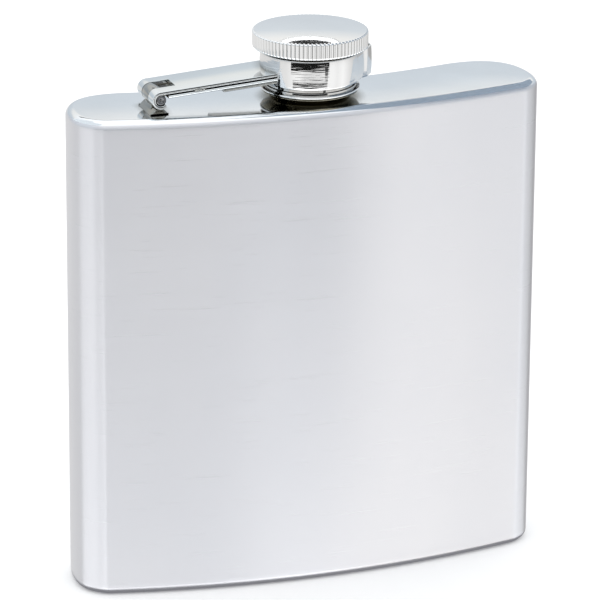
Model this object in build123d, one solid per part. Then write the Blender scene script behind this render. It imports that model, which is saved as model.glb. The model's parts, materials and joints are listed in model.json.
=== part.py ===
from build123d import *
from math import asin, cos, degrees, radians, sin, sqrt
import os

# Hip flask with a captive screw cap. Millimetres, +Z up, X along the width, convex front facing -Y.
# The origin is the centre of the base. Heights of the neck, hinge and cap are above the top plate.

# ---- body ----
BODY_WIDTH = 94.0
BODY_HEIGHT = 95.8
MID_DEPTH = 20.5          # front to back at mid width
FRONT_RADIUS = 180.0      # convex front face
BACK_RADIUS = 145.0       # hollow back face
BEND_X = 40.8             # the tight bend at each front corner
BEND_TURN = 17.6          # degrees turned at that bend
EAR_X = 32.0              # where the hollow back meets the rounded ends
END_Y = 12.8              # widest point of the section, behind the front face
SHEET = 0.6
RIM_RADIUS = 1.7          # rounded edge of the top and base plates
RIM_DEPTH = 2.4           # how far each plate's skirt reaches along the wall

# ---- spout ----
BORE_RADIUS = 5.3
SPIGOT_RADIUS = 6.9
SPIGOT_DEPTH = 2.2
SPIGOT_GAP = 0.05
WAIST_RADIUS = 7.75
FLARE_RADIUS = 9.3
FLARE_TOP = 1.75
FLARE_EDGE = 0.25
SPOUT_RADIUS = 6.4
SPOUT_THREAD_RADIUS = 7.0
LIP_RADIUS = 6.1
LIP_BASE = 5.9
LIP_TOP = 8.8
LIP_ROUND = 0.3

# ---- thread, shared by spout and liner ----
THREAD_PITCH = 1.5
THREAD_TURNS = 1.33
THREAD_BASE = 0.8         # width of the ridge at its foot
THREAD_CREST = 0.45       # width of the ridge at its top
THREAD_EMBED = 0.1        # how far the ridge's foot is sunk in its wall
SPOUT_THREAD_START = 2.9  # height of the ridge's lower end
LINER_THREAD_START = SPOUT_THREAD_START + THREAD_PITCH / 2

# ---- hinge ----
PIN_X = -31.2
PIN_Z = 3.1
PIN_RADIUS = 1.05
PIN_GAP = 0.05
PIN_INSET = 0.05
KNUCKLE_RADIUS = 1.7
KNUCKLE_WIDTH = 4.0       # bracket knuckle, in the strap's slot
SLOT_WIDTH = 4.2
FOOT_WIDTH = 7.6
FOOT_BASE = 1.9           # half length of the bracket's foot on the plate
FOOT_CROWN = 0.5          # half length at the foot's top
FOOT_HEIGHT = 1.2

# ---- strap and collar ----
STRAP_WIDTH = 10.0
STRAP_SHEET = 0.6
STRAP_SLOPE = 4.0         # degrees the strap climbs from the pin to the collar
LEAF_GAP = 0.3            # between the two leaves of the folded strap
SLOT_LENGTH = 3.6         # from the pin axis
TONGUE_START = 12.4       # from the pin axis, along the strap
TONGUE_SHEET = 0.55
COLLAR_RADIUS = 9.65
COLLAR_SHEET = 0.5
COLLAR_BASE = 3.76
COLLAR_TOP = 9.33
WELD_GAP = 0.02
NOSE_POINTS = [(7.6, 5.9), (9.5, 3.6), (10.6, 3.1), (12.2, 1.0)]

# ---- cap ----
SKIRT_RADIUS = 8.5
SKIRT_BASE = 1.95
LINER_RADIUS = 7.75
LINER_GAP = 0.02
HEAD_RADIUS = 11.09
HEAD_BASE = 9.91
HEAD_TOP = 13.07
DOME_RISE = 0.35
HEAD_ROOF = 0.8
HEAD_CHAMFER = 0.25
GRIP_RIBS = 84
RIB_HEIGHT = 0.2
RING_RADIUS = 9.56
RING_BASE = 1.9
RING_TOP = 2.8
GROOVE_RADIUS = 8.2
GROOVE_BASE = 2.3
RUNNING_GAP = 0.05
LINER_BASE = 3.0
LINER_BORE = 7.15
LINER_THREAD_RADIUS = 6.65
GASKET_RADIUS = 7.1
GASKET_THICKNESS = 0.6
GASKET_GAP = 0.02


def heading(angle):
    """Unit vector in the XY plane at an angle in degrees."""
    return Vector(cos(radians(angle)), sin(radians(angle)))


def sagitta(radius, half_chord):
    return radius - sqrt(radius**2 - half_chord**2)


def section(inset=0):
    """Kidney section of the body, or of its inside at a wall thickness, front apex at y = -inset."""
    front_slope = degrees(asin(BEND_X / FRONT_RADIUS))
    back_slope = degrees(asin(EAR_X / BACK_RADIUS))
    leave = heading(front_slope + BEND_TURN)
    arrive = heading(back_slope)
    rear = Vector(0, 1)
    mitre = inset / cos(radians(BEND_TURN / 2))
    bend = Vector(BEND_X, sagitta(FRONT_RADIUS, BEND_X)) + heading(front_slope + BEND_TURN / 2 + 90) * mitre
    widest = Vector(BODY_WIDTH / 2 - inset, END_Y)
    ear = Vector(EAR_X, MID_DEPTH + sagitta(BACK_RADIUS, EAR_X)) + heading(back_slope - 90) * inset
    front_reach = 0.42 * (widest - bend).length
    rear_reach = (ear - widest).length
    corner = Bezier(bend, bend + leave * front_reach, widest - rear * front_reach, widest)
    shoulder = Bezier(widest, widest + rear * 0.55 * rear_reach, ear + arrive * 0.45 * rear_reach, ear)
    mirrored = [edge.mirror(Plane.YZ) for edge in (corner, shoulder)]
    front = ThreePointArc((-bend.X, bend.Y), (0, inset), bend)
    back = ThreePointArc(ear, (0, MID_DEPTH - inset), (-ear.X, ear.Y))
    return make_face([front, corner, shoulder, back, *mirrored])


# The cap's head overhangs the front face, so it takes part in centring the flask on the origin.
FOREMOST = MID_DEPTH / 2 - HEAD_RADIUS
FRONT_Y = -(FOREMOST + section().bounding_box().max.Y) / 2
NECK_Y = FRONT_Y + MID_DEPTH / 2
OUTLINE = Pos(0, FRONT_Y) * section()
INNER_OUTLINE = Pos(0, FRONT_Y) * section(SHEET)
NECK = Pos(0, NECK_Y, BODY_HEIGHT)
HINGE = Pos(PIN_X, NECK_Y, BODY_HEIGHT + PIN_Z)


def turned(points):
    """A solid of revolution on the neck axis, from its (radius, height) outline."""
    profile = Plane.XZ * make_face(Polyline(*points, close=True))
    return revolve(profile, Axis.Z)


def along_pin(sketch, width):
    """Extrude a sketch drawn in (X, Z) both ways along the pin to a total width."""
    return extrude(Plane.XZ * sketch, width / 2, both=True)


def thread_ridge(root, crest, start):
    """Right-hand helical ridge between two radii. The crest is inside when crest < root."""
    foot = root - THREAD_EMBED if crest > root else root + THREAD_EMBED
    path = Pos(0, 0, start) * Helix(THREAD_PITCH, THREAD_PITCH * THREAD_TURNS, min(root, crest))
    corners = [
        (foot, start - THREAD_BASE / 2),
        (crest, start - THREAD_CREST / 2),
        (crest, start + THREAD_CREST / 2),
        (foot, start + THREAD_BASE / 2),
    ]
    profile = Plane.XZ * make_face(Polyline(*corners, close=True))
    return sweep(profile, path, is_frenet=True)


def pan():
    """Pressed pan with a rounded rim, its flat face up at z = 0."""
    solid = Pos(0, 0, -RIM_DEPTH) * extrude(OUTLINE, RIM_DEPTH)
    solid = fillet(solid.edges().group_by(Axis.Z)[-1], RIM_RADIUS)
    inside = Pos(0, 0, -RIM_DEPTH) * extrude(INNER_OUTLINE, RIM_DEPTH - SHEET)
    inside = fillet(inside.edges().group_by(Axis.Z)[-1], RIM_RADIUS - SHEET)
    return solid - inside


def make_body_wall():
    height = BODY_HEIGHT - 2 * RIM_DEPTH
    tube = extrude(OUTLINE, height) - extrude(INNER_OUTLINE, height)
    return Pos(0, 0, RIM_DEPTH) * tube


def make_top_plate():
    hole = Pos(0, NECK_Y) * Cylinder(SPIGOT_RADIUS + SPIGOT_GAP, 4 * SHEET)
    return Pos(0, 0, BODY_HEIGHT) * (pan() - hole)


def make_base_plate():
    return pan().mirror(Plane.XY)


def make_spout():
    """Turned neck: spigot through the plate, hollow waist, flare, threaded tube and plain lip."""
    flare_side = FLARE_TOP - FLARE_EDGE
    waist = ThreePointArc((WAIST_RADIUS, 0), (WAIST_RADIUS + 0.6, flare_side * 0.6), (FLARE_RADIUS, flare_side))
    rest = Polyline(
        (FLARE_RADIUS, flare_side),
        (FLARE_RADIUS, FLARE_TOP),
        (SPOUT_RADIUS, FLARE_TOP),
        (SPOUT_RADIUS, LIP_BASE),
        (LIP_RADIUS, LIP_BASE + LIP_ROUND),
        (LIP_RADIUS, LIP_TOP - LIP_ROUND),
        (LIP_RADIUS - LIP_ROUND, LIP_TOP),
        (BORE_RADIUS, LIP_TOP),
        (BORE_RADIUS, -SPIGOT_DEPTH),
        (SPIGOT_RADIUS, -SPIGOT_DEPTH),
        (SPIGOT_RADIUS, 0),
        (WAIST_RADIUS, 0),
    )
    tube = revolve(Plane.XZ * make_face([waist, *rest.edges()]), Axis.Z)
    return NECK * (tube + thread_ridge(SPOUT_RADIUS, SPOUT_THREAD_RADIUS, SPOUT_THREAD_START))


def make_hinge_bracket():
    """Strip bent round the pin, with splayed feet welded to the top plate."""
    foot = make_face(Polyline(
        (-FOOT_BASE, -PIN_Z),
        (FOOT_BASE, -PIN_Z),
        (FOOT_CROWN, FOOT_HEIGHT - PIN_Z),
        (-FOOT_CROWN, FOOT_HEIGHT - PIN_Z),
        close=True,
    ))
    web = Pos(0, (FOOT_HEIGHT / 2 - PIN_Z) / 2) * Rectangle(2 * KNUCKLE_RADIUS * 0.6, PIN_Z - FOOT_HEIGHT / 2)
    knuckle = along_pin(Circle(KNUCKLE_RADIUS) + web, KNUCKLE_WIDTH)
    solid = along_pin(foot, FOOT_WIDTH) + knuckle
    return HINGE * (solid - along_pin(Circle(PIN_RADIUS + PIN_GAP), FOOT_WIDTH))


def make_hinge_pin():
    return HINGE * along_pin(Circle(PIN_RADIUS), STRAP_WIDTH - 2 * PIN_INSET)


def strap_layer(start, lower, thickness):
    """Side view of one flat layer of the strap, from a distance along it to the neck axis."""
    length = -PIN_X - start
    layer = Pos(start + length / 2, lower + thickness / 2) * Rectangle(length, thickness)
    return Rot(0, 0, STRAP_SLOPE) * layer


def make_strap():
    """Strip folded over the pin: top leaf, two rolled knuckles, return leaf underneath."""
    top_leaf = strap_layer(0, KNUCKLE_RADIUS - STRAP_SHEET, STRAP_SHEET)
    return_leaf = strap_layer(PIN_RADIUS, KNUCKLE_RADIUS - 2 * STRAP_SHEET - LEAF_GAP, STRAP_SHEET)
    side = Circle(KNUCKLE_RADIUS) + top_leaf + return_leaf - Circle(PIN_RADIUS + PIN_GAP)
    slot = Rectangle(2 * SLOT_LENGTH, 4 * KNUCKLE_RADIUS)
    solid = along_pin(side, STRAP_WIDTH) - along_pin(slot, SLOT_WIDTH)
    return HINGE * solid - NECK * Cylinder(COLLAR_RADIUS + WELD_GAP, 2 * HEAD_TOP)


def collar_outline():
    """Ring seen from above, drawn out to a folded nose on the side away from the hinge."""
    lower_side = [(x, -y) for x, y in reversed(NOSE_POINTS)]
    nose = make_face(Polyline(*NOSE_POINTS, *lower_side, close=True))
    return Circle(COLLAR_RADIUS) + nose


def make_collar():
    """Band round the cap's skirt, with a tongue that backs the strap."""
    outer = collar_outline()
    height = COLLAR_TOP - COLLAR_BASE
    opening = Pos(0, 0, COLLAR_BASE) * extrude(offset(outer, -COLLAR_SHEET), height)
    band = Pos(0, 0, COLLAR_BASE) * extrude(outer, height) - opening
    tongue_top = KNUCKLE_RADIUS - 2 * STRAP_SHEET - LEAF_GAP
    tongue = along_pin(strap_layer(TONGUE_START, tongue_top - TONGUE_SHEET, TONGUE_SHEET), STRAP_WIDTH)
    core = Cylinder(COLLAR_RADIUS - COLLAR_SHEET / 2, 2 * HEAD_TOP)
    return NECK * band + (HINGE * tongue - NECK * core)


def make_retaining_ring():
    """Snap ring in the skirt's groove, below the collar."""
    rim = SKIRT_RADIUS + RUNNING_GAP
    inner = GROOVE_RADIUS + RUNNING_GAP
    shelf = GROOVE_BASE + RUNNING_GAP
    return NECK * turned([
        (inner, shelf),
        (inner, RING_TOP),
        (RING_RADIUS, RING_TOP),
        (RING_RADIUS, RING_BASE),
        (rim, RING_BASE),
        (rim, shelf),
    ])


def ribbed_disc():
    """Section of the head: convex ribs side by side round the rim."""
    root = HEAD_RADIUS - RIB_HEIGHT
    step = 360 / GRIP_RIBS
    ribs = []
    for rib in range(GRIP_RIBS):
        start = heading(rib * step) * root
        crown = heading((rib + 0.5) * step) * HEAD_RADIUS
        finish = heading((rib + 1) * step) * root
        ribs.append(ThreePointArc(start, crown, finish))
    return make_face(ribs)


def make_cap_shell():
    """Ribbed head with a domed top and a plain skirt that runs down inside the collar."""
    groove_top = RING_TOP + RUNNING_GAP
    roof = HEAD_TOP - HEAD_ROOF
    crown_radius = HEAD_RADIUS - HEAD_CHAMFER
    dome_radius = (crown_radius**2 + DOME_RISE**2) / (2 * DOME_RISE)
    halfway = asin(crown_radius / dome_radius) / 2
    crown = ThreePointArc(
        (crown_radius, HEAD_TOP),
        (dome_radius * sin(halfway), HEAD_TOP + DOME_RISE - dome_radius * (1 - cos(halfway))),
        (0, HEAD_TOP + DOME_RISE),
    )
    sides = Polyline(
        (0, HEAD_TOP + DOME_RISE),
        (0, roof),
        (LINER_RADIUS, roof),
        (LINER_RADIUS, SKIRT_BASE),
        (SKIRT_RADIUS, SKIRT_BASE),
        (SKIRT_RADIUS, GROOVE_BASE),
        (GROOVE_RADIUS, GROOVE_BASE),
        (GROOVE_RADIUS, groove_top),
        (SKIRT_RADIUS, groove_top),
        (SKIRT_RADIUS, HEAD_BASE),
        (crown_radius, HEAD_BASE),
        (HEAD_RADIUS, HEAD_BASE + HEAD_CHAMFER),
        (HEAD_RADIUS, HEAD_TOP - HEAD_CHAMFER),
        (crown_radius, HEAD_TOP),
    )
    smooth = revolve(Plane.XZ * make_face([crown, *sides.edges()]), Axis.Z)
    return NECK * (smooth & extrude(ribbed_disc(), 2 * HEAD_TOP))


def make_cap_liner():
    """Threaded insert that fills the cap, with a seat for the gasket."""
    outside = LINER_RADIUS - LINER_GAP
    plug_top = HEAD_TOP - HEAD_ROOF - LINER_GAP
    seat = LIP_TOP + GASKET_GAP + GASKET_THICKNESS
    body = turned([
        (LINER_BORE, LINER_BASE),
        (outside, LINER_BASE),
        (outside, plug_top),
        (0, plug_top),
        (0, seat),
        (LINER_BORE, seat),
    ])
    return NECK * (body + thread_ridge(LINER_BORE, LINER_THREAD_RADIUS, LINER_THREAD_START))


def make_cap_gasket():
    base = LIP_TOP + GASKET_GAP
    return NECK * Pos(0, 0, base + GASKET_THICKNESS / 2) * Cylinder(GASKET_RADIUS, GASKET_THICKNESS)


PARTS = {
    "body_wall": make_body_wall,
    "top_plate": make_top_plate,
    "base_plate": make_base_plate,
    "spout": make_spout,
    "hinge_bracket": make_hinge_bracket,
    "hinge_pin": make_hinge_pin,
    "strap": make_strap,
    "collar": make_collar,
    "retaining_ring": make_retaining_ring,
    "cap_shell": make_cap_shell,
    "cap_liner": make_cap_liner,
    "cap_gasket": make_cap_gasket,
}

os.makedirs("parts", exist_ok=True)
for name, make in PARTS.items():
    export_step(make(), f"parts/{name}.step")
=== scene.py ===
import json
import math

import bmesh
import bpy
from mathutils import Matrix, Vector


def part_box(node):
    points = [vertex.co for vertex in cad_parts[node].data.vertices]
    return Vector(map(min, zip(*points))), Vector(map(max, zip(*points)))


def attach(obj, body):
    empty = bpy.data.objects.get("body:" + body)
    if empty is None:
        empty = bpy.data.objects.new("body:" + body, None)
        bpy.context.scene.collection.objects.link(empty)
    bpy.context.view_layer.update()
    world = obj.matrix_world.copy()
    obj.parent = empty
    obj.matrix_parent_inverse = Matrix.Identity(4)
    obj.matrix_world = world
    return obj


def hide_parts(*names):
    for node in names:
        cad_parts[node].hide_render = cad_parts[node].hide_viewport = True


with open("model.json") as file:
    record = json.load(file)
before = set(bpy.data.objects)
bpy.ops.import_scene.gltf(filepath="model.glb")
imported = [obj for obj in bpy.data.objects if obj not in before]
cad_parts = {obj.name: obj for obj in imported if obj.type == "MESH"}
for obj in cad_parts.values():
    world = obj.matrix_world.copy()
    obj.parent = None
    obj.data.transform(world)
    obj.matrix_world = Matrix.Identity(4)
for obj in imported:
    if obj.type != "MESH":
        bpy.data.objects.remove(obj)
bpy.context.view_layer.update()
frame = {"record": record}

# Lengths are millimetres until a mesh is made, heights of the fittings are above the top plate.
MM = 0.001


def box_mm(node):
    low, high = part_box(node)
    return Vector(low) / MM, Vector(high) / MM


# ---- places taken from the frame ----
JOINTS = {joint["name"]: joint for joint in frame["record"]["behaviour"]["joints"]}
WALL_LOW, WALL_HIGH = box_mm("body_wall")
TOP = box_mm("top_plate")[1].z
PIN_X, NECK_Y, PIN_HEIGHT = (v / MM for v in JOINTS["arm_swing"]["pos_m"])
PIN_Z = PIN_HEIGHT - TOP
HEAD_RADIUS = (box_mm("cap_shell")[1].x - box_mm("cap_shell")[0].x) / 2
CAP_TOP = box_mm("cap_shell")[1].z - TOP
SKIRT_BASE = box_mm("cap_shell")[0].z - TOP
COLLAR_BASE = box_mm("collar")[0].z - TOP
RING_BASE = box_mm("retaining_ring")[0].z - TOP
RING_TOP = box_mm("retaining_ring")[1].z - TOP
RING_RADIUS = (box_mm("retaining_ring")[1].x - box_mm("retaining_ring")[0].x) / 2
GASKET_BASE = box_mm("cap_gasket")[0].z - TOP
GASKET_TOP = box_mm("cap_gasket")[1].z - TOP
SPOUT_TOP = box_mm("spout")[1].z - TOP
STRAP_WIDTH = box_mm("strap")[1].y - box_mm("strap")[0].y

# ---- the body's section ----
FRONT_Y = WALL_LOW.y
HALF_WIDTH = WALL_HIGH.x
MID_DEPTH = 20.5
FRONT_RADIUS = 180.0
BACK_RADIUS = 145.0
BEND_X = 42.5
BEND_TURN = 17.6
EAR_X = 32.0
END_Y = 12.8
BEND_SOFTNESS = 0.9
SHEET = 0.6
RIM_RADIUS = 1.7
RIM_DEPTH = 2.4
RIM_STEPS = 14
BRUSHED_RINGS = 6

# ---- neck and cap ----
BORE_RADIUS = 5.3
SPIGOT_RADIUS = 6.9
WAIST_RADIUS = 7.75
FLARE_RADIUS = 9.3
FLARE_BASE = 1.5
TUBE_BASE = 1.75
TUBE_RADIUS = 6.4
TUBE_CREST = 7.0
THREAD_PITCH = 1.5
THREAD_TURNS = 1.33
SPOUT_THREAD_START = 2.9
HEAD_BASE = 9.91
DOME_RISE = 0.35
HEAD_EDGE = CAP_TOP - DOME_RISE
SKIRT_RADIUS = 8.5
GROOVE_RADIUS = 8.2
GROOVE_BASE = 2.3
ROOF = HEAD_EDGE - 0.8
LINER_RADIUS = 7.75
LINER_BORE = 7.15
LINER_CREST = 6.65
LINER_BASE = 3.0
GRIP_RIBS = 84
RIB_HEIGHT = 0.2
RING_LIP = RING_BASE + 0.42

# ---- arm ----
COLLAR_RADIUS = 9.65
COLLAR_SHEET = 0.5
COLLAR_TOP = 9.33
COLLAR_BELLY = 0.1
NOSE = [(7.6, 5.9), (9.5, 3.6), (10.6, 3.1), (12.2, 1.0)]
STRAP_SHEET = 0.6
STRAP_SLOPE = math.radians(4)
STRAP_END = 23.4
LEAF_GAP = 0.3
LEAF_START = 1.5
KNUCKLE_RADIUS = 1.7
PIN_RADIUS = 1.05
SLOT_LENGTH = 3.6
SLOT_WIDTH = 4.2
TONGUE_START = 12.4
TONGUE_SHEET = 0.55
LEAF_LEVEL = KNUCKLE_RADIUS - STRAP_SHEET / 2
RETURN_LEVEL = LEAF_LEVEL - STRAP_SHEET - LEAF_GAP
TONGUE_LEVEL = RETURN_LEVEL - STRAP_SHEET / 2 - TONGUE_SHEET / 2


# ---- mesh helpers ----

def link(piece):
    bpy.context.collection.objects.link(piece)
    return piece


def make_piece(name, bm, materials, body, nodes=(), sharp=35):
    """Turn a bmesh in millimetres into a smooth piece that rides on a body."""
    bmesh.ops.remove_doubles(bm, verts=bm.verts, dist=1e-5)
    bmesh.ops.recalc_face_normals(bm, faces=bm.faces)
    bmesh.ops.scale(bm, vec=(MM, MM, MM), verts=bm.verts)
    mesh = bpy.data.meshes.new(name)
    bm.to_mesh(mesh)
    bm.free()
    for material in materials:
        mesh.materials.append(material)
    for polygon in mesh.polygons:
        polygon.use_smooth = True
    mesh.set_sharp_from_angle(angle=math.radians(sharp))
    piece = link(bpy.data.objects.new(name, mesh))
    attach(piece, body)
    if nodes:
        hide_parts(*nodes)
    return piece


def add_skin(bm, rows, wrap=False, ends=False, material=0):
    """Quads between closed rings of equal length. wrap joins the last ring to the first."""
    rings = [[bm.verts.new(point) for point in row] for row in rows]
    pairs = list(zip(rings, rings[1:]))
    if wrap:
        pairs.append((rings[-1], rings[0]))
    for low, high in pairs:
        for i in range(len(low)):
            j = (i + 1) % len(low)
            face = bm.faces.new((low[i], low[j], high[j], high[i]))
            face.material_index = material
    if ends:
        for ring in (rings[0], rings[-1]):
            bm.faces.new(ring).material_index = material
    return rings


def round_corners(points, radii, steps=5):
    """A closed outline with each corner replaced by an arc of its own radius."""
    result = []
    for i, corner in enumerate(points):
        radius = radii[i] if isinstance(radii, (list, tuple)) else radii
        corner = Vector(corner)
        back = Vector(points[i - 1]) - corner
        ahead = Vector(points[(i + 1) % len(points)]) - corner
        turn = math.pi - back.angle(ahead)
        reach = radius * math.tan(turn / 2)
        reach = min(reach, 0.48 * back.length, 0.48 * ahead.length)
        if radius <= 0 or turn < 0.01:
            result.append(corner)
            continue
        start = corner + back.normalized() * reach
        finish = corner + ahead.normalized() * reach
        for k in range(steps + 1):
            t = k / steps
            result.append(start * (1 - t) ** 2 + corner * 2 * t * (1 - t) + finish * t * t)
    return result


def around_neck(radius, angle, z):
    return (radius * math.cos(angle), NECK_Y + radius * math.sin(angle), z)


def lathe_rows(profile, steps, height=TOP):
    """Rings round the neck axis, one for each (radius, height) of a profile."""
    rows = []
    for radius, z in profile:
        turns = [2 * math.pi * i / steps for i in range(steps)]
        rows.append([around_neck(radius, t, height + z) for t in turns])
    return rows


def lathe(bm, profile, steps=160):
    """A closed solid of revolution from a closed outline that stays off the axis."""
    return add_skin(bm, lathe_rows(profile, steps), wrap=True)


def helix_ridge(bm, root, crest, start):
    """A thread ridge with run-out ends, between a wall at root and its crest."""
    foot_width = 0.8
    crest_width = 0.45
    steps = 150
    rows = []
    for i in range(steps + 1):
        t = i / steps
        angle = 2 * math.pi * THREAD_TURNS * t
        fade = min(1, 12 * t, 12 * (1 - t))
        top = root + (crest - root) * fade
        foot = root + (0.05 if crest < root else -0.05)
        z = TOP + start + THREAD_PITCH * THREAD_TURNS * t
        corners = [(foot, -foot_width / 2), (top, -crest_width / 2)]
        corners += [(top, crest_width / 2), (foot, foot_width / 2)]
        rows.append([around_neck(radius, angle, z + offset) for radius, offset in corners])
    add_skin(bm, rows, ends=True)


def bezier(a, b, c, d, steps):
    """Points of a cubic curve, without its last one."""
    points = []
    for i in range(steps):
        t = i / steps
        near = a * (1 - t) ** 3 + b * 3 * t * (1 - t) ** 2
        points.append(near + c * 3 * t * t * (1 - t) + d * t**3)
    return points


def arc(centre, radius, start, finish, steps):
    """Points of an arc in the plane, without its last one."""
    turns = [start + (finish - start) * i / steps for i in range(steps)]
    return [centre + Vector((math.cos(t), math.sin(t))) * radius for t in turns]


def ring_normals(points):
    """Outward normals of a closed outline that runs anticlockwise."""
    normals = []
    for i in range(len(points)):
        along = points[(i + 1) % len(points)] - points[i - 1]
        normals.append(Vector((along.y, -along.x)).normalized())
    return normals


# ---- body ----

def half_section():
    """The right half of the kidney section, from the front centre to just before the back centre."""
    front_turn = math.asin(BEND_X / FRONT_RADIUS)
    back_turn = math.asin(EAR_X / BACK_RADIUS)
    front_centre = Vector((0, FRONT_Y + FRONT_RADIUS))
    back_centre = Vector((0, FRONT_Y + MID_DEPTH + BACK_RADIUS))
    bend = front_centre + Vector((math.sin(front_turn), -math.cos(front_turn))) * FRONT_RADIUS
    ear = back_centre + Vector((math.sin(back_turn), -math.cos(back_turn))) * BACK_RADIUS
    widest = Vector((HALF_WIDTH, FRONT_Y + END_Y))
    leave = front_turn + math.radians(BEND_TURN)
    front_reach = 0.42 * (widest - bend).length
    rear_reach = (ear - widest).length
    rear = Vector((0, 1))
    arrive = Vector((math.cos(back_turn), math.sin(back_turn)))
    corner_start = bend + Vector((math.cos(leave), math.sin(leave))) * front_reach
    points = arc(front_centre, FRONT_RADIUS, -math.pi / 2, -math.pi / 2 + front_turn, 96)
    points += bezier(bend, corner_start, widest - rear * front_reach, widest, 44)
    points += bezier(widest, widest + rear * 0.55 * rear_reach, ear + arrive * 0.45 * rear_reach, ear, 56)
    points += arc(back_centre, BACK_RADIUS, -math.pi / 2 + back_turn, -math.pi / 2, 72)
    return points + [Vector((0, FRONT_Y + MID_DEPTH))]


def soften(points):
    """Round the two front bends a little, as a pressed sheet does."""
    for _ in range(4):
        moved = [p.copy() for p in points]
        for i, p in enumerate(points):
            if abs(abs(p.x) - BEND_X) < BEND_SOFTNESS and p.y < FRONT_Y + MID_DEPTH / 2:
                moved[i] = (points[i - 1] + p * 2 + points[(i + 1) % len(points)]) / 4
        points = moved
    return points


def body_section():
    """Points round the body, with their outward normals."""
    half = half_section()
    mirrored = [Vector((-p.x, p.y)) for p in half[-2:0:-1]]
    points = soften(half + mirrored)
    return points, ring_normals(points)


SECTION, NORMALS = body_section()


def section_ring(inset, z):
    return [(p.x - n.x * inset, p.y - n.y * inset, z) for p, n in zip(SECTION, NORMALS)]


def rim_rings(radius, inset, crest, sign):
    """Rings over the rounded edge of a pan, from the vertical side to the flat face."""
    rings = []
    for i in range(RIM_STEPS + 1):
        t = math.pi / 2 * i / RIM_STEPS
        z = crest - sign * radius * (1 - math.sin(t))
        rings.append(section_ring(inset + radius * (1 - math.cos(t)), z))
    return rings


def fill_flat(bm, outer, hole=None):
    """Triangles over a flat ring, leaving a hole open."""
    loops = [outer] if hole is None else [outer, hole]
    edges = []
    for loop in loops:
        for i, vert in enumerate(loop):
            following = loop[(i + 1) % len(loop)]
            edges.append(bm.edges.get((vert, following)) or bm.edges.new((vert, following)))
    bmesh.ops.triangle_fill(bm, use_beauty=True, edges=edges)


def make_pan(name, crest, sign, hole_radius, materials, node):
    """A pressed pan: skirt, rounded rim and flat face, with real sheet thickness.

    Its first material is the flat face's, its second the brushed skirt's, which runs a little way
    over the rim.
    """
    bm = bmesh.new()
    skirt_end = crest - sign * RIM_DEPTH
    rim_start = crest - sign * RIM_RADIUS
    skirt = add_skin(bm, [section_ring(0, skirt_end), section_ring(0, rim_start)], material=1)
    rim = rim_rings(RIM_RADIUS, 0, crest, sign)
    add_skin(bm, rim[:BRUSHED_RINGS], material=1)
    outside = add_skin(bm, rim[BRUSHED_RINGS - 1:])
    inner_rim = rim_rings(RIM_RADIUS - SHEET, SHEET, crest - sign * SHEET, sign)
    inside = add_skin(bm, [section_ring(SHEET, skirt_end)] + inner_rim)
    for i in range(len(skirt[0])):
        edge = (skirt[0][i - 1], skirt[0][i], inside[0][i], inside[0][i - 1])
        bm.faces.new(edge).material_index = 1
    holes = [None, None]
    if hole_radius:
        rows = lathe_rows([(hole_radius, 0), (hole_radius, -SHEET)], 96, crest)
        holes = add_skin(bm, rows)
    fill_flat(bm, outside[-1], holes[0])
    fill_flat(bm, inside[-1], holes[1])
    return make_piece(name, bm, materials, "flask", [node], sharp=30)


def make_wall(material):
    """The wrapped sheet between the two pans."""
    bm = bmesh.new()
    low, high = WALL_LOW.z, WALL_HIGH.z
    heights = [low + (high - low) * i / 24 for i in range(25)]
    rows = [section_ring(0, z) for z in heights] + [section_ring(SHEET, z) for z in reversed(heights)]
    add_skin(bm, rows, wrap=True)
    return make_piece("wrapped_wall", bm, [material], "flask", ["body_wall"], sharp=30)


# ---- neck ----

def make_neck(material):
    """Turned spout: spigot, hollow waist, flare, threaded tube and rolled lip."""
    spread = FLARE_RADIUS - 0.1 - WAIST_RADIUS
    waist = [(WAIST_RADIUS + spread * (t / 8) ** 1.8, FLARE_BASE * t / 8) for t in range(9)]
    flare = [(FLARE_RADIUS - 0.02, 1.56), (FLARE_RADIUS, 1.62), (FLARE_RADIUS - 0.02, 1.7)]
    flare += [(FLARE_RADIUS - 0.08, TUBE_BASE)]
    tube = [(TUBE_RADIUS + 0.1, TUBE_BASE), (TUBE_RADIUS, TUBE_BASE + 0.1), (TUBE_RADIUS, 5.8)]
    tube += [(TUBE_RADIUS - 0.3, 6.2), (TUBE_RADIUS - 0.3, SPOUT_TOP - 0.35)]
    lip = [(6.02, SPOUT_TOP - 0.12), (5.85, SPOUT_TOP), (5.55, SPOUT_TOP), (5.36, SPOUT_TOP - 0.1)]
    bore = [(BORE_RADIUS, SPOUT_TOP - 0.3), (BORE_RADIUS, -1.9), (5.5, -2.2)]
    spigot = [(SPIGOT_RADIUS - 0.2, -2.2), (SPIGOT_RADIUS, -2.0), (SPIGOT_RADIUS, -0.6), (7.2, -0.02)]
    bm = bmesh.new()
    lathe(bm, waist + flare + tube + lip + bore + spigot)
    helix_ridge(bm, TUBE_RADIUS, TUBE_CREST, SPOUT_THREAD_START)
    return make_piece("turned_neck", bm, [material], "flask", ["spout"])


# ---- cap ----

def rib(angle):
    """How far a rib's surface stands below its crown at an angle round the head, 0 to 1."""
    phase = (angle * GRIP_RIBS / (2 * math.pi)) % 1
    return 1 - math.sin(math.pi * phase) ** 0.45


def head_rows(profile):
    """Rings of the head. Each (radius, height, share) keeps a share of the ribs' depth."""
    steps_per_rib = 10
    steps = GRIP_RIBS * steps_per_rib
    rows = []
    for radius, z, share in profile:
        row = []
        for i in range(steps):
            t = 2 * math.pi * i / steps
            r = radius - RIB_HEIGHT * share * rib(t)
            row.append(around_neck(r, t, TOP + z))
        rows.append(row)
    return rows


def dome_height(radius):
    edge = HEAD_RADIUS - 0.25
    return HEAD_EDGE + DOME_RISE * (1 - min(1, radius / edge) ** 2)


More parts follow.
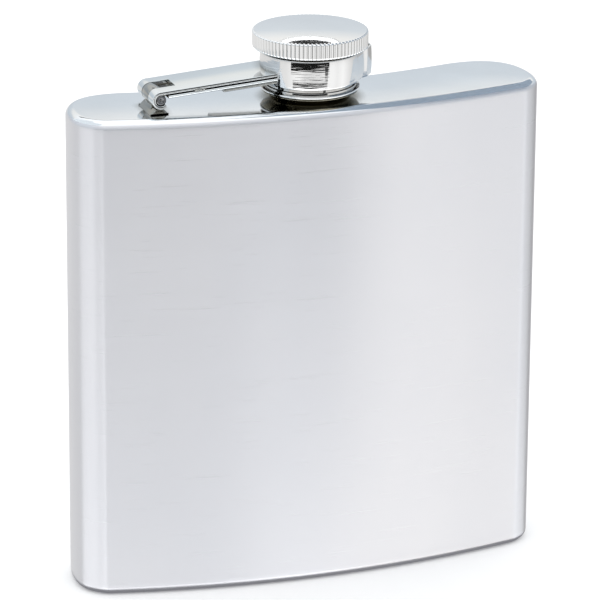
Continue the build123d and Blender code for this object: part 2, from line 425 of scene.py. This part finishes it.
def make_cap(material):
    """Ribbed head with a shallow dome, and a plain skirt with a groove for the retaining ring."""
    edge = HEAD_RADIUS
    profile = [(SKIRT_RADIUS, HEAD_BASE, 0), (9.6, HEAD_BASE, 0), (edge - 0.42, HEAD_BASE, 0.6)]
    profile += [(edge - 0.2, HEAD_BASE + 0.06, 1), (edge - 0.06, HEAD_BASE + 0.18, 1)]
    profile += [(edge, HEAD_BASE + 0.36, 1), (edge, HEAD_BASE + 0.42, 1)]
    profile += [(edge, HEAD_EDGE - 0.34, 1), (edge, HEAD_EDGE - 0.26, 1)]
    profile += [(edge - 0.04, HEAD_EDGE - 0.14, 1), (edge - 0.12, HEAD_EDGE - 0.05, 1)]
    profile += [(edge - 0.22, HEAD_EDGE, 1), (edge - 0.34, dome_height(edge - 0.34), 0.55)]
    profile += [(edge - 0.5, dome_height(edge - 0.5), 0)]
    profile += [(r, dome_height(r), 0) for r in (10.2, 9.6, 8.8, 7.6, 6.4, 5.2, 4.0, 2.8, 1.6, 0.6)]
    bm = bmesh.new()
    rings = add_skin(bm, head_rows(profile))
    crown = bm.verts.new((0, NECK_Y, TOP + CAP_TOP))
    for i, vert in enumerate(rings[-1]):
        bm.faces.new((vert, rings[-1][(i + 1) % len(rings[-1])], crown))
    groove = RING_TOP + 0.05
    skirt = [(SKIRT_RADIUS, HEAD_BASE), (SKIRT_RADIUS, groove), (GROOVE_RADIUS, groove)]
    skirt += [(GROOVE_RADIUS, GROOVE_BASE), (SKIRT_RADIUS, GROOVE_BASE), (SKIRT_RADIUS, SKIRT_BASE + 0.12)]
    skirt += [(SKIRT_RADIUS - 0.12, SKIRT_BASE), (LINER_RADIUS + 0.1, SKIRT_BASE)]
    skirt += [(LINER_RADIUS, SKIRT_BASE + 0.1), (LINER_RADIUS, ROOF), (0.6, ROOF)]
    steps = len(rings[0])
    inner = add_skin(bm, lathe_rows(skirt, steps))
    bm.faces.new(inner[-1])
    return make_piece("ribbed_cap", bm, [material], "cap", ["cap_shell"])


def make_liner(material):
    """Moulded threaded insert."""
    outside = LINER_RADIUS - 0.02
    top = ROOF - 0.02
    seat = GASKET_TOP
    profile = [(LINER_BORE, LINER_BASE + 0.1), (LINER_BORE + 0.1, LINER_BASE), (outside - 0.1, LINER_BASE)]
    profile += [(outside, LINER_BASE + 0.1), (outside, top), (0.4, top), (0.4, seat)]
    profile += [(LINER_BORE - 0.1, seat), (LINER_BORE, seat - 0.1)]
    bm = bmesh.new()
    lathe(bm, profile, 128)
    helix_ridge(bm, LINER_BORE, LINER_CREST, SPOUT_THREAD_START + THREAD_PITCH / 2)
    return make_piece("threaded_liner", bm, [material], "cap", ["cap_liner"])


def make_gasket(material):
    """Soft washer with a shallow moulded recess in its middle."""
    low, high = GASKET_BASE, GASKET_TOP
    profile = [(0.3, low + 0.12), (4.4, low + 0.12), (4.6, low), (6.95, low), (7.1, low + 0.12)]
    profile += [(7.1, high - 0.12), (6.98, high), (0.3, high)]
    bm = bmesh.new()
    lathe(bm, profile, 128)
    return make_piece("cap_washer", bm, [material], "cap", ["cap_gasket"])


def make_snap_ring(material):
    """Retaining ring below the collar: a thin rounded lip under a recessed band."""
    inner = RING_RADIUS - 0.75
    corners = [(8.25, 2.35), (8.55, 2.35), (8.55, RING_BASE), (RING_RADIUS, RING_BASE)]
    corners += [(RING_RADIUS, RING_LIP), (inner, RING_LIP + 0.05), (inner, RING_TOP), (8.25, RING_TOP)]
    profile = [tuple(p) for p in round_corners(corners, [0.02, 0.02, 0.05, 0.2, 0.2, 0.05, 0.05, 0.05])]
    bm = bmesh.new()
    lathe(bm, profile)
    return make_piece("snap_ring", bm, [material], "ring", ["retaining_ring"])


# ---- arm ----

def collar_section():
    """The collar seen from above: a circle drawn out to a nose on +X."""
    start = math.asin(NOSE[0][1] / COLLAR_RADIUS)
    points = arc(Vector((0, 0)), COLLAR_RADIUS, start, 2 * math.pi - start, 150)
    outline = [tuple(p) for p in points] + [(x, -y) for x, y in NOSE] + [(x, y) for x, y in reversed(NOSE)]
    radii = [0] * len(points) + [1.2, 1.4, 1.2, 0.9, 0.9, 1.2, 1.4, 1.2]
    return [Vector((p.x, p.y)) for p in round_corners(outline, radii, 8)]


def make_collar(material):
    """Band with rolled lips and a slightly bellied side."""
    points = collar_section()
    normals = ring_normals(points)
    low, high, sheet = COLLAR_BASE, COLLAR_TOP, COLLAR_SHEET
    outer = [(0.36, low), (0.2, low + 0.04), (COLLAR_BELLY + 0.01, low + 0.14)]
    for i in range(13):
        t = i / 12
        outer.append((COLLAR_BELLY * (2 * t - 1) ** 2, low + 0.3 + (high - low - 0.6) * t))
    outer += [(COLLAR_BELLY + 0.01, high - 0.14), (0.16, high - 0.05), (0.26, high)]
    inner = [(sheet - 0.08, high), (sheet, high - 0.1), (sheet, low + 0.1), (sheet - 0.08, low)]
    rows = []
    for inset, z in outer + inner:
        moved = [p - n * inset for p, n in zip(points, normals)]
        rows.append([(p.x, NECK_Y + p.y, TOP + z) for p in moved])
    bm = bmesh.new()
    add_skin(bm, rows, wrap=True)
    return make_piece("drawn_collar", bm, [material], "arm", ["collar"], sharp=40)


def strap_point(u, v, y=0.0):
    """A point of the arm from its distance along the strap and above the pin axis."""
    c, s = math.cos(STRAP_SLOPE), math.sin(STRAP_SLOPE)
    return (PIN_X + u * c - v * s, NECK_Y + y, TOP + PIN_Z + u * s + v * c)


def add_strip(bm, path, width, thickness, edge_round):
    """A flat strip with rounded edges along (u, v) points of the arm's side view."""
    w, t = width / 2, thickness / 2
    outline = round_corners([(-w, -t), (w, -t), (w, t), (-w, t)], edge_round, 4)
    rows = []
    for i, p in enumerate(path):
        along = (path[min(i + 1, len(path) - 1)] - path[max(i - 1, 0)]).normalized()
        across = Vector((-along.y, along.x))
        rows.append([strap_point(p.x + across.x * q.y, p.y + across.y * q.y, q.x) for q in outline])
    add_skin(bm, rows, ends=True)


def cut(piece, tool_bm):
    """Take a closed tool away from a piece, and keep the result as the piece's mesh."""
    bmesh.ops.scale(tool_bm, vec=(MM, MM, MM), verts=tool_bm.verts)
    bmesh.ops.recalc_face_normals(tool_bm, faces=tool_bm.faces)
    mesh = bpy.data.meshes.new("tool")
    tool_bm.to_mesh(mesh)
    tool_bm.free()
    tool = link(bpy.data.objects.new("tool", mesh))
    boolean = piece.modifiers.new("cut", "BOOLEAN")
    boolean.operation = "DIFFERENCE"
    boolean.solver = "EXACT"
    boolean.object = tool
    evaluated = piece.evaluated_get(bpy.context.evaluated_depsgraph_get())
    result = bpy.data.meshes.new_from_object(evaluated)
    piece.modifiers.clear()
    bpy.data.objects.remove(tool)
    for polygon in result.polygons:
        polygon.use_smooth = True
    result.set_sharp_from_angle(angle=math.radians(35))
    piece.data = result


def block(bm, low, high):
    made = bmesh.ops.create_cube(bm, size=1)
    middle = [(a + b) / 2 for a, b in zip(low, high)]
    size = [b - a for a, b in zip(low, high)]
    bmesh.ops.scale(bm, vec=size, verts=made["verts"])
    bmesh.ops.translate(bm, vec=middle, verts=made["verts"])


def straight(u_start, u_end, v, steps=24):
    return [Vector((u_start + (u_end - u_start) * i / steps, v)) for i in range(steps + 1)]


def cut_seat(piece):
    """End a strip where it meets the collar's inner side."""
    reach = COLLAR_RADIUS - 0.25
    seat = bmesh.new()
    lathe(seat, [(0.5, 0), (reach, 0), (reach, 12), (0.5, 12)])
    cut(piece, seat)


def cut_slot(piece):
    """Open the slot that the bracket's knuckle stands in."""
    slot = bmesh.new()
    half = SLOT_WIDTH / 2
    low = (PIN_X - 4, NECK_Y - half, TOP - 2)
    high = (strap_point(SLOT_LENGTH, 0)[0], NECK_Y + half, TOP + PIN_Z + 6)
    block(slot, low, high)
    cut(piece, slot)


def make_strap(material):
    """Strip rolled round the pin, with a second leaf under it and a slot for the bracket."""
    roll = arc(Vector((0, 0)), LEAF_LEVEL, math.pi / 2, math.radians(315), 44)
    bm = bmesh.new()
    add_strip(bm, straight(STRAP_END, 0.05, LEAF_LEVEL, 40) + roll, STRAP_WIDTH, STRAP_SHEET, 0.1)
    strap = make_piece("rolled_strap", bm, [material], "arm", ["strap"])
    bm = bmesh.new()
    add_strip(bm, straight(LEAF_START, STRAP_END, RETURN_LEVEL), STRAP_WIDTH, STRAP_SHEET, 0.28)
    leaf = make_piece("return_leaf", bm, [material], "arm")
    for piece in (strap, leaf):
        cut_slot(piece)
        cut_seat(piece)


def make_weld(material):
    """Ragged spots of weld between the two leaves, on their front edge."""
    bm = bmesh.new()
    level = (LEAF_LEVEL + RETURN_LEVEL) / 2
    spots = [(6.9, 0.28, 0.05), (7.4, 0.36, 0.12), (7.9, 0.3, -0.02), (8.5, 0.24, 0.06)]
    for along, size, lift in spots:
        made = bmesh.ops.create_icosphere(bm, subdivisions=3, radius=size)
        for vert in made["verts"]:
            angle = math.atan2(vert.co.z, vert.co.x)
            vert.co *= 1 + 0.16 * math.sin(5 * angle + 20 * along) * math.cos(9 * vert.co.y)
            vert.co.y *= 0.45
        place = strap_point(along, level + lift, 0.03 - STRAP_WIDTH / 2)
        bmesh.ops.translate(bm, vec=place, verts=made["verts"])
    make_piece("strap_weld", bm, [material], "arm", sharp=60)


def make_tongue(material):
    """Tongue of the collar that backs the strap."""
    bm = bmesh.new()
    add_strip(bm, straight(TONGUE_START, STRAP_END, TONGUE_LEVEL), STRAP_WIDTH - 0.3, TONGUE_SHEET, 0.24)
    tongue = make_piece("collar_tongue", bm, [material], "arm")
    cut_seat(tongue)


def add_bar(bm, outline, centre, half_length, bevel):
    """Extrude an (x, z) outline along Y both ways, with rounded ends."""
    steps = 4
    points = [Vector(p) for p in outline]
    normals = ring_normals(points)
    turns = [math.pi / 2 * i / steps for i in range(steps + 1)]
    ends = [(bevel * (1 - math.sin(t)), half_length - bevel * (1 - math.cos(t))) for t in turns]
    profile = [(inset, -y) for inset, y in ends] + [(inset, y) for inset, y in reversed(ends)]
    rows = []
    for inset, y in profile:
        moved = [p - n * inset for p, n in zip(points, normals)]
        rows.append([(centre[0] + p.x, NECK_Y + y, centre[1] + p.y) for p in moved])
    add_skin(bm, rows, ends=True)


def make_bracket(material):
    """Knuckle between the strap's two, on a web, with splayed feet welded to the plate."""
    knuckle = arc(Vector((0, 0)), KNUCKLE_RADIUS, math.radians(-52), math.radians(232), 56)
    web = [(-1.02, -1.9), (-1.3, -2.6), (1.3, -2.6), (1.02, -1.9)]
    foot_height = 1.2 - PIN_Z
    corners = [(-1.9, -PIN_Z), (1.9, -PIN_Z), (0.7, foot_height), (-0.7, foot_height)]
    foot = round_corners(corners, [0.05, 0.05, 0.4, 0.4])
    centre = (PIN_X, TOP + PIN_Z)
    bm = bmesh.new()
    add_bar(bm, [tuple(p) for p in knuckle] + web, centre, 2.0, 0.15)
    add_bar(bm, [tuple(p) for p in foot], centre, 3.8, 0.3)
    return make_piece("bracket_knuckle", bm, [material], "flask", ["hinge_bracket"])


def make_pin(material):
    """Pin with upset ends and a small centre dimple, flush with the knuckles."""
    half = STRAP_WIDTH / 2 - 0.06
    profile = [(0.02, half - 0.32), (0.18, half - 0.26), (0.42, half - 0.05), (0.68, half)]
    profile += [(0.88, half - 0.08), (PIN_RADIUS - 0.03, half - 0.22), (PIN_RADIUS - 0.01, half - 0.5)]
    both_ends = profile + [(radius, -y) for radius, y in reversed(profile)]
    turns = [2 * math.pi * i / 48 for i in range(48)]
    centre = Vector((PIN_X, NECK_Y, TOP + PIN_Z))
    rows = []
    for radius, y in both_ends:
        rows.append([centre + Vector((radius * math.cos(t), y, radius * math.sin(t))) for t in turns])
    bm = bmesh.new()
    add_skin(bm, rows, ends=True)
    return make_piece("upset_pin", bm, [material], "pin", ["hinge_pin"])


# ---- materials ----

def new_material(name, color, metallic=0.0, roughness=0.5):
    """A node material with its uniform numbers set on the shader itself."""
    material = bpy.data.materials.new(name)
    material.use_nodes = True
    shader = material.node_tree.nodes["Principled BSDF"]
    shader.inputs["Base Color"].default_value = (*color, 1)
    shader.inputs["Metallic"].default_value = metallic
    shader.inputs["Roughness"].default_value = roughness
    return material, material.node_tree, shader


def noise(tree, scale, detail=3.0, roughness=0.55, stretch=(1, 1, 1)):
    """Fractal noise in object space, stretched along the axes."""
    where = tree.nodes.new("ShaderNodeTexCoord")
    mapping = tree.nodes.new("ShaderNodeMapping")
    mapping.inputs["Scale"].default_value = stretch
    texture = tree.nodes.new("ShaderNodeTexNoise")
    texture.inputs["Scale"].default_value = scale
    texture.inputs["Detail"].default_value = detail
    texture.inputs["Roughness"].default_value = roughness
    tree.links.new(where.outputs["Object"], mapping.inputs["Vector"])
    tree.links.new(mapping.outputs["Vector"], texture.inputs["Vector"])
    return texture.outputs["Fac"]


def remap(tree, source, low, high, start=0.3, end=0.7):
    """Spread a noise over a range of numbers."""
    node = tree.nodes.new("ShaderNodeMapRange")
    node.inputs["From Min"].default_value = start
    node.inputs["From Max"].default_value = end
    node.inputs["To Min"].default_value = low
    node.inputs["To Max"].default_value = high
    tree.links.new(source, node.inputs["Value"])
    return node.outputs["Result"]


def blend_colors(tree, source, first, second):
    """Spread a noise between two colours."""
    ramp = tree.nodes.new("ShaderNodeValToRGB")
    ramp.color_ramp.elements[0].position = 0.3
    ramp.color_ramp.elements[0].color = (*first, 1)
    ramp.color_ramp.elements[1].position = 0.7
    ramp.color_ramp.elements[1].color = (*second, 1)
    tree.links.new(source, ramp.inputs["Fac"])
    return ramp.outputs["Color"]


def add_bump(tree, shader, height, strength, distance):
    """Bump with its full height in metres."""
    bump = tree.nodes.new("ShaderNodeBump")
    bump.inputs["Strength"].default_value = strength
    bump.inputs["Distance"].default_value = distance
    tree.links.new(height, bump.inputs["Height"])
    tree.links.new(bump.outputs["Normal"], shader.inputs["Normal"])


def painted_corner_shade(tree, unshaded_color):
    """Paint shade into the metal's colour in tight corners, found by ambient occlusion."""
    corner = tree.nodes.new("ShaderNodeAmbientOcclusion")
    corner.inputs["Distance"].default_value = 3 * MM
    corner.samples = 8
    mix = tree.nodes.new("ShaderNodeMix")
    mix.data_type = "RGBA"
    # Dark colour of the painted shade in the corners.
    mix.inputs["A"].default_value = (0.10, 0.09, 0.06, 1)
    tree.links.new(unshaded_color, mix.inputs["B"])
    tree.links.new(remap(tree, corner.outputs["AO"], 0, 1, 0.25, 0.85), mix.inputs["Factor"])
    return mix.outputs["Result"]


def brushed_steel():
    """Steel brushed round the body: fine level scratches over soft clouds."""
    material, tree, shader = new_material("brushed_steel", (0.70, 0.72, 0.75), 1.0, 0.3)
    scratches = noise(tree, 1.0, 5, 0.62, (50, 50, 6500))
    clouds = noise(tree, 1.0, 3, 0.5, (30, 30, 18))
    color = blend_colors(tree, clouds, (0.698, 0.708, 0.748), (0.733, 0.738, 0.772))
    tree.links.new(color, shader.inputs["Base Color"])
    tree.links.new(remap(tree, scratches, 0.27, 0.35), shader.inputs["Roughness"])
    shader.inputs["Anisotropic"].default_value = 0.75
    shader.inputs["Anisotropic Rotation"].default_value = 0.25
    tangent = tree.nodes.new("ShaderNodeTangent")
    tangent.direction_type = "RADIAL"
    tangent.axis = "Z"
    tree.links.new(tangent.outputs["Tangent"], shader.inputs["Tangent"])
    add_bump(tree, shader, scratches, 0.045, 0.00002)
    return material


def polished_steel(name, color, low, high, wave, scale, stretch=(1, 1, 1)):
    """Mirror steel with faint polishing marks and a trace of waviness."""
    material, tree, shader = new_material(name, color, 1.0, low)
    marks = noise(tree, scale, 4, 0.65, (1, 1, 3))
    tree.links.new(remap(tree, marks, low, high), shader.inputs["Roughness"])
    tint = tuple(0.93 * c for c in color)
    unshaded_color = blend_colors(tree, noise(tree, 70, 2), tint, color)
    # The colour is darkened in tight corners by ambient occlusion: painted shade.
    tree.links.new(painted_corner_shade(tree, unshaded_color), shader.inputs["Base Color"])
    add_bump(tree, shader, noise(tree, scale / 4, 2, 0.55, stretch), wave, 0.00008)
    return material


def liner_plastic():
    material, tree, shader = new_material("liner_plastic", (0.86, 0.87, 0.86), 0.0, 0.4)
    shader.inputs["Subsurface Weight"].default_value = 0.15
    shader.inputs["Subsurface Radius"].default_value = (0.002, 0.002, 0.0018)
    tree.links.new(remap(tree, noise(tree, 900), 0.34, 0.48), shader.inputs["Roughness"])
    color = blend_colors(tree, noise(tree, 120), (0.80, 0.81, 0.80), (0.88, 0.89, 0.88))
    tree.links.new(color, shader.inputs["Base Color"])
    return material


def gasket_silicone():
    material, tree, shader = new_material("gasket_silicone", (0.74, 0.76, 0.76), 0.0, 0.55)
    tree.links.new(remap(tree, noise(tree, 1500), 0.48, 0.62), shader.inputs["Roughness"])
    color = blend_colors(tree, noise(tree, 250), (0.68, 0.70, 0.70), (0.78, 0.80, 0.80))
    tree.links.new(color, shader.inputs["Base Color"])
    add_bump(tree, shader, noise(tree, 2500), 0.2, 0.00004)
    return material


# ---- studio ----

def hang(name, mesh, color, strength):
    """Put a card's mesh in the studio. It shows only in reflections."""
    board = link(bpy.data.objects.new(name, mesh))
    material, _, shader = new_material(name, color, 0.0, 1.0)
    shader.inputs["Emission Color"].default_value = (*color, 1)
    shader.inputs["Emission Strength"].default_value = strength
    shader.inputs["Specular IOR Level"].default_value = 0
    mesh.materials.append(material)
    board.visible_camera = False
    board.visible_diffuse = False
    board.visible_shadow = False


def card(name, azimuths, elevations, color, strength=0):
    """A curved card round the flask, between two azimuths and two elevations in degrees."""
    steps = 32
    left, right = azimuths
    turns = [left + (right - left) * i / steps for i in range(steps + 1)]
    points = []
    for elevation in elevations:
        points += [CAP + direction(turn, elevation) * CARD_DISTANCE for turn in turns]
    count = len(turns)
    faces = [(i, i + 1, count + i + 1, count + i) for i in range(steps)]
    mesh = bpy.data.meshes.new(name)
    mesh.from_pydata(points, [], faces)
    hang(name, mesh, color, strength)


def oval(name, azimuth, elevation, half_width, half_height, color, strength, distance):
    """A rounded card that shows as a lens in the cap's low dome. Its sizes are degrees."""
    steps = 72
    points = []
    for i in range(steps):
        t = 2 * math.pi * i / steps
        turn = azimuth + half_width * math.cos(t)
        points.append(CAP + direction(turn, elevation + half_height * math.sin(t)) * distance)
    mesh = bpy.data.meshes.new(name)
    mesh.from_pydata(points, [], [tuple(range(steps))])
    hang(name, mesh, color, strength)


def direction(azimuth, elevation):
    """Unit vector from the flask. Azimuth 0 is -Y and 90 is +X."""
    a, e = math.radians(azimuth), math.radians(elevation)
    return Vector((math.sin(a) * math.cos(e), -math.cos(a) * math.cos(e), math.sin(e)))


def contact_shadow():
    """The dark floor just under and round the base, for reflections."""
    margin = 1.2
    mesh = bpy.data.meshes.new("contact_shadow")
    outline = [Vector(point) * MM for point in section_ring(-margin, -0.1)]
    mesh.from_pydata(outline, [], [tuple(range(len(outline)))])
    hang("contact_shadow", mesh, (0.2, 0.2, 0.21), 0.5)


CAP = Vector((0, NECK_Y, TOP + CAP_TOP)) * MM
CARD_DISTANCE = 3.0
BEHIND = 160.6


def make_floor():
    """Plain white floor. Reflections see the studio's skirt in its place."""
    mesh = bpy.data.meshes.new("floor")
    mesh.from_pydata([(-3, -3, 0), (3, -3, 0), (3, 3, 0), (-3, 3, 0)], [], [(0, 1, 2, 3)])
    floor = link(bpy.data.objects.new("floor", mesh))
    material, _, shader = new_material("floor", (0.96, 0.96, 0.96), 0.0, 0.7)
    shader.inputs["Specular IOR Level"].default_value = 0
    shader.inputs["Emission Color"].default_value = (1, 1, 1, 1)
    shader.inputs["Emission Strength"].default_value = 0.12
    mesh.materials.append(material)
    floor.visible_glossy = False


# Colours of the tent by the height of a direction, and of its skirt by azimuth in degrees.
TENT = [(0.12, (0.40, 0.43, 0.46)), (0.28, (0.45, 0.48, 0.505)), (0.35, (0.60, 0.595, 0.58))]
TENT += [(0.62, (0.72, 0.73, 0.74)), (0.9, (0.80, 0.80, 0.80))]
PANELS = [(-180, 0.53), (-120, 0.52), (-75, 0.54), (-52, 0.64), (-40, 0.64), (-30, 0.54)]
PANELS += [(-7, 0.51), (6, 0.52), (15, 0.59), (25, 0.64), (36, 0.64), (46, 0.60), (62, 0.66)]
PANELS += [(82, 0.54), (105, 0.42), (125, 0.27), (142, 0.50), (180, 0.53)]
SKIRT = [((turn + 180) / 360, (tone, 0.99 * tone, 0.975 * tone)) for turn, tone in PANELS]
TENT_STRENGTH = 1.6


def tone_ramp(tree, source, stops):
    """A ramp with its own place and colour for each stop."""
    ramp = tree.nodes.new("ShaderNodeValToRGB")
    for _ in range(len(stops) - 2):
        ramp.color_ramp.elements.new(0.5)
    for element, (place, color) in zip(ramp.color_ramp.elements, stops):
        element.position = place
        element.color = (*color, 1)
    tree.links.new(source, ramp.inputs["Fac"])
    return ramp.outputs["Color"]


def make_world():
    """A tent of light: pale blue-grey near the horizon, white overhead, its skirt lit in panels."""
    world = bpy.data.worlds.new("studio")
    bpy.context.scene.world = world
    world.use_nodes = True
    tree = world.node_tree
    where = tree.nodes.new("ShaderNodeTexCoord")
    split = tree.nodes.new("ShaderNodeSeparateXYZ")
    tree.links.new(where.outputs["Generated"], split.inputs["Vector"])
    tent = tone_ramp(tree, split.outputs["Z"], TENT)
    away = tree.nodes.new("ShaderNodeMath")
    away.operation = "MULTIPLY"
    away.inputs[1].default_value = -1
    tree.links.new(split.outputs["Y"], away.inputs[0])
    turn = tree.nodes.new("ShaderNodeMath")
    turn.operation = "ARCTAN2"
    tree.links.new(split.outputs["X"], turn.inputs[0])
    tree.links.new(away.outputs["Value"], turn.inputs[1])
    skirt = tone_ramp(tree, remap(tree, turn.outputs["Value"], 0, 1, -math.pi, math.pi), SKIRT)
    join = tree.nodes.new("ShaderNodeMix")
    join.data_type = "RGBA"
    tree.links.new(remap(tree, split.outputs["Z"], 0, 1, -0.03, 0.03), join.inputs["Factor"])
    tree.links.new(skirt, join.inputs["A"])
    tree.links.new(tent, join.inputs["B"])
    tree.links.new(join.outputs["Result"], tree.nodes["Background"].inputs["Color"])
    tree.nodes["Background"].inputs["Strength"].default_value = TENT_STRENGTH


LENS = 259.4
SHIFT = (-0.0077, 0.048)
CAMERA_PLACE = (-0.26352, -0.74925, 0.32791)
CAMERA_FORWARD = (0.3128, 0.88978, -0.33234)
ROLL = math.radians(0.422)


def make_camera():
    data = bpy.data.cameras.new("camera")
    data.lens = LENS
    data.sensor_width = 36
    data.shift_x, data.shift_y = SHIFT
    camera = link(bpy.data.objects.new("camera", data))
    aim = Vector(CAMERA_FORWARD).to_track_quat("-Z", "Y").to_matrix().to_4x4()
    camera.matrix_world = Matrix.Translation(CAMERA_PLACE) @ aim @ Matrix.Rotation(ROLL, 4, "Z")
    bpy.context.scene.camera = camera


# ---- build everything ----

brushed = brushed_steel()
plate = polished_steel("polished_plate", (0.84, 0.87, 0.90), 0.05, 0.11, 0.06, 900)
chrome = polished_steel("mirror_chrome", (0.90, 0.91, 0.92), 0.02, 0.06, 0.05, 1400)
drawn = polished_steel("drawn_chrome", (0.90, 0.91, 0.92), 0.02, 0.07, 0.32, 1200, (0.35, 0.35, 7))
strap_steel = polished_steel("strap_steel", (0.77, 0.81, 0.83), 0.03, 0.08, 0.06, 1200)
# Chrome neck with its colour made dark and olive: painted shade under the cap.
shaded_neck_chrome = polished_steel("neck_chrome_painted_shade", (0.30, 0.285, 0.23), 0.03, 0.08, 0.06, 1400)
# Grey of the weld spots; on the collar tongue and the bracket the same dark grey is painted shade.
weld_grey_and_painted_shade = polished_steel("weld_grey_and_painted_shade", (0.36, 0.37, 0.36), 0.05, 0.14, 0.1, 1400)
# The pin's steel is made nearly black: painted shade inside the knuckle.
pin_steel = polished_steel("pin_steel", (0.16, 0.165, 0.175), 0.14, 0.28, 0.1, 2500)

make_wall(brushed)
make_pan("pressed_top", TOP, 1, SPIGOT_RADIUS + 0.05, [plate, brushed], "top_plate")
make_pan("pressed_base", 0, -1, 0, [brushed, brushed], "base_plate")
make_neck(shaded_neck_chrome)
make_cap(chrome)
make_liner(liner_plastic())
make_gasket(gasket_silicone())
make_snap_ring(chrome)
make_collar(drawn)
make_strap(strap_steel)
make_weld(weld_grey_and_painted_shade)
make_tongue(weld_grey_and_painted_shade)
make_bracket(weld_grey_and_painted_shade)
make_pin(pin_steel)

BLACK = (0.015, 0.015, 0.015)
DARK = (0.05, 0.05, 0.05)
SLATE = (0.22, 0.26, 0.31)
WHITE = (1, 1, 1)
WARM_WHITE = (1, 0.975, 0.94)
LOW = (-65, -26.5)
card("photographer", (-63, 25), (-12.8, -4.5), BLACK)
card("table_edge", (-60, 22), (-24.2, -21), BLACK)
LOW_PANELS = [(-120, -66, 0.92), (-66, -54, 1.1), (-54, -36, 1.4), (-36, -22, 1.0), (-22, 2, 0.98)]
LOW_PANELS += [(2, 9, 1.02), (9, 14, 1.2), (14, 18, 1.4), (18, 22, 1.55), (22, 26, 1.4)]
for left, right, strength in LOW_PANELS:
    card(f"low_panel_{left}", (left, right), LOW, WHITE, strength)
card("right_panel", (26, 40), LOW, WARM_WHITE, 0.88)
card("far_right_panel", (40, 62), LOW, WARM_WHITE, 0.7)
card("edge_panel", (62, 120), LOW, (0.97, 0.99, 1), 0.85)
card("strap_dark", (15, 22), (-17.6, -12.8), (0.1, 0.1, 0.1), 0.6)
card("right_grey", (35, 125), (20, 75), SLATE, 0.5)
card("right_grey_behind", (125, 150), (24, 64), SLATE, 0.5)
card("left_grey", (-150, -60), (10, 65), (0.55, 0.58, 0.60), 0.6)
card("band_behind", (150, 186), (31, 36.5), DARK)
oval("umbrella_rim", BEHIND, 22.5, 1.95, 2.85, (0.25, 0.25, 0.25), 0.5, 2.99)
oval("umbrella", BEHIND, 22.5, 1.8, 2.6, WHITE, 1.4, 2.97)
oval("umbrella_hub", BEHIND, 22.5, 1.5, 1.5, BLACK, 0, 2.95)
contact_shadow()
make_floor()
make_world()
make_camera()
bpy.context.scene.view_settings.view_transform = "Standard"
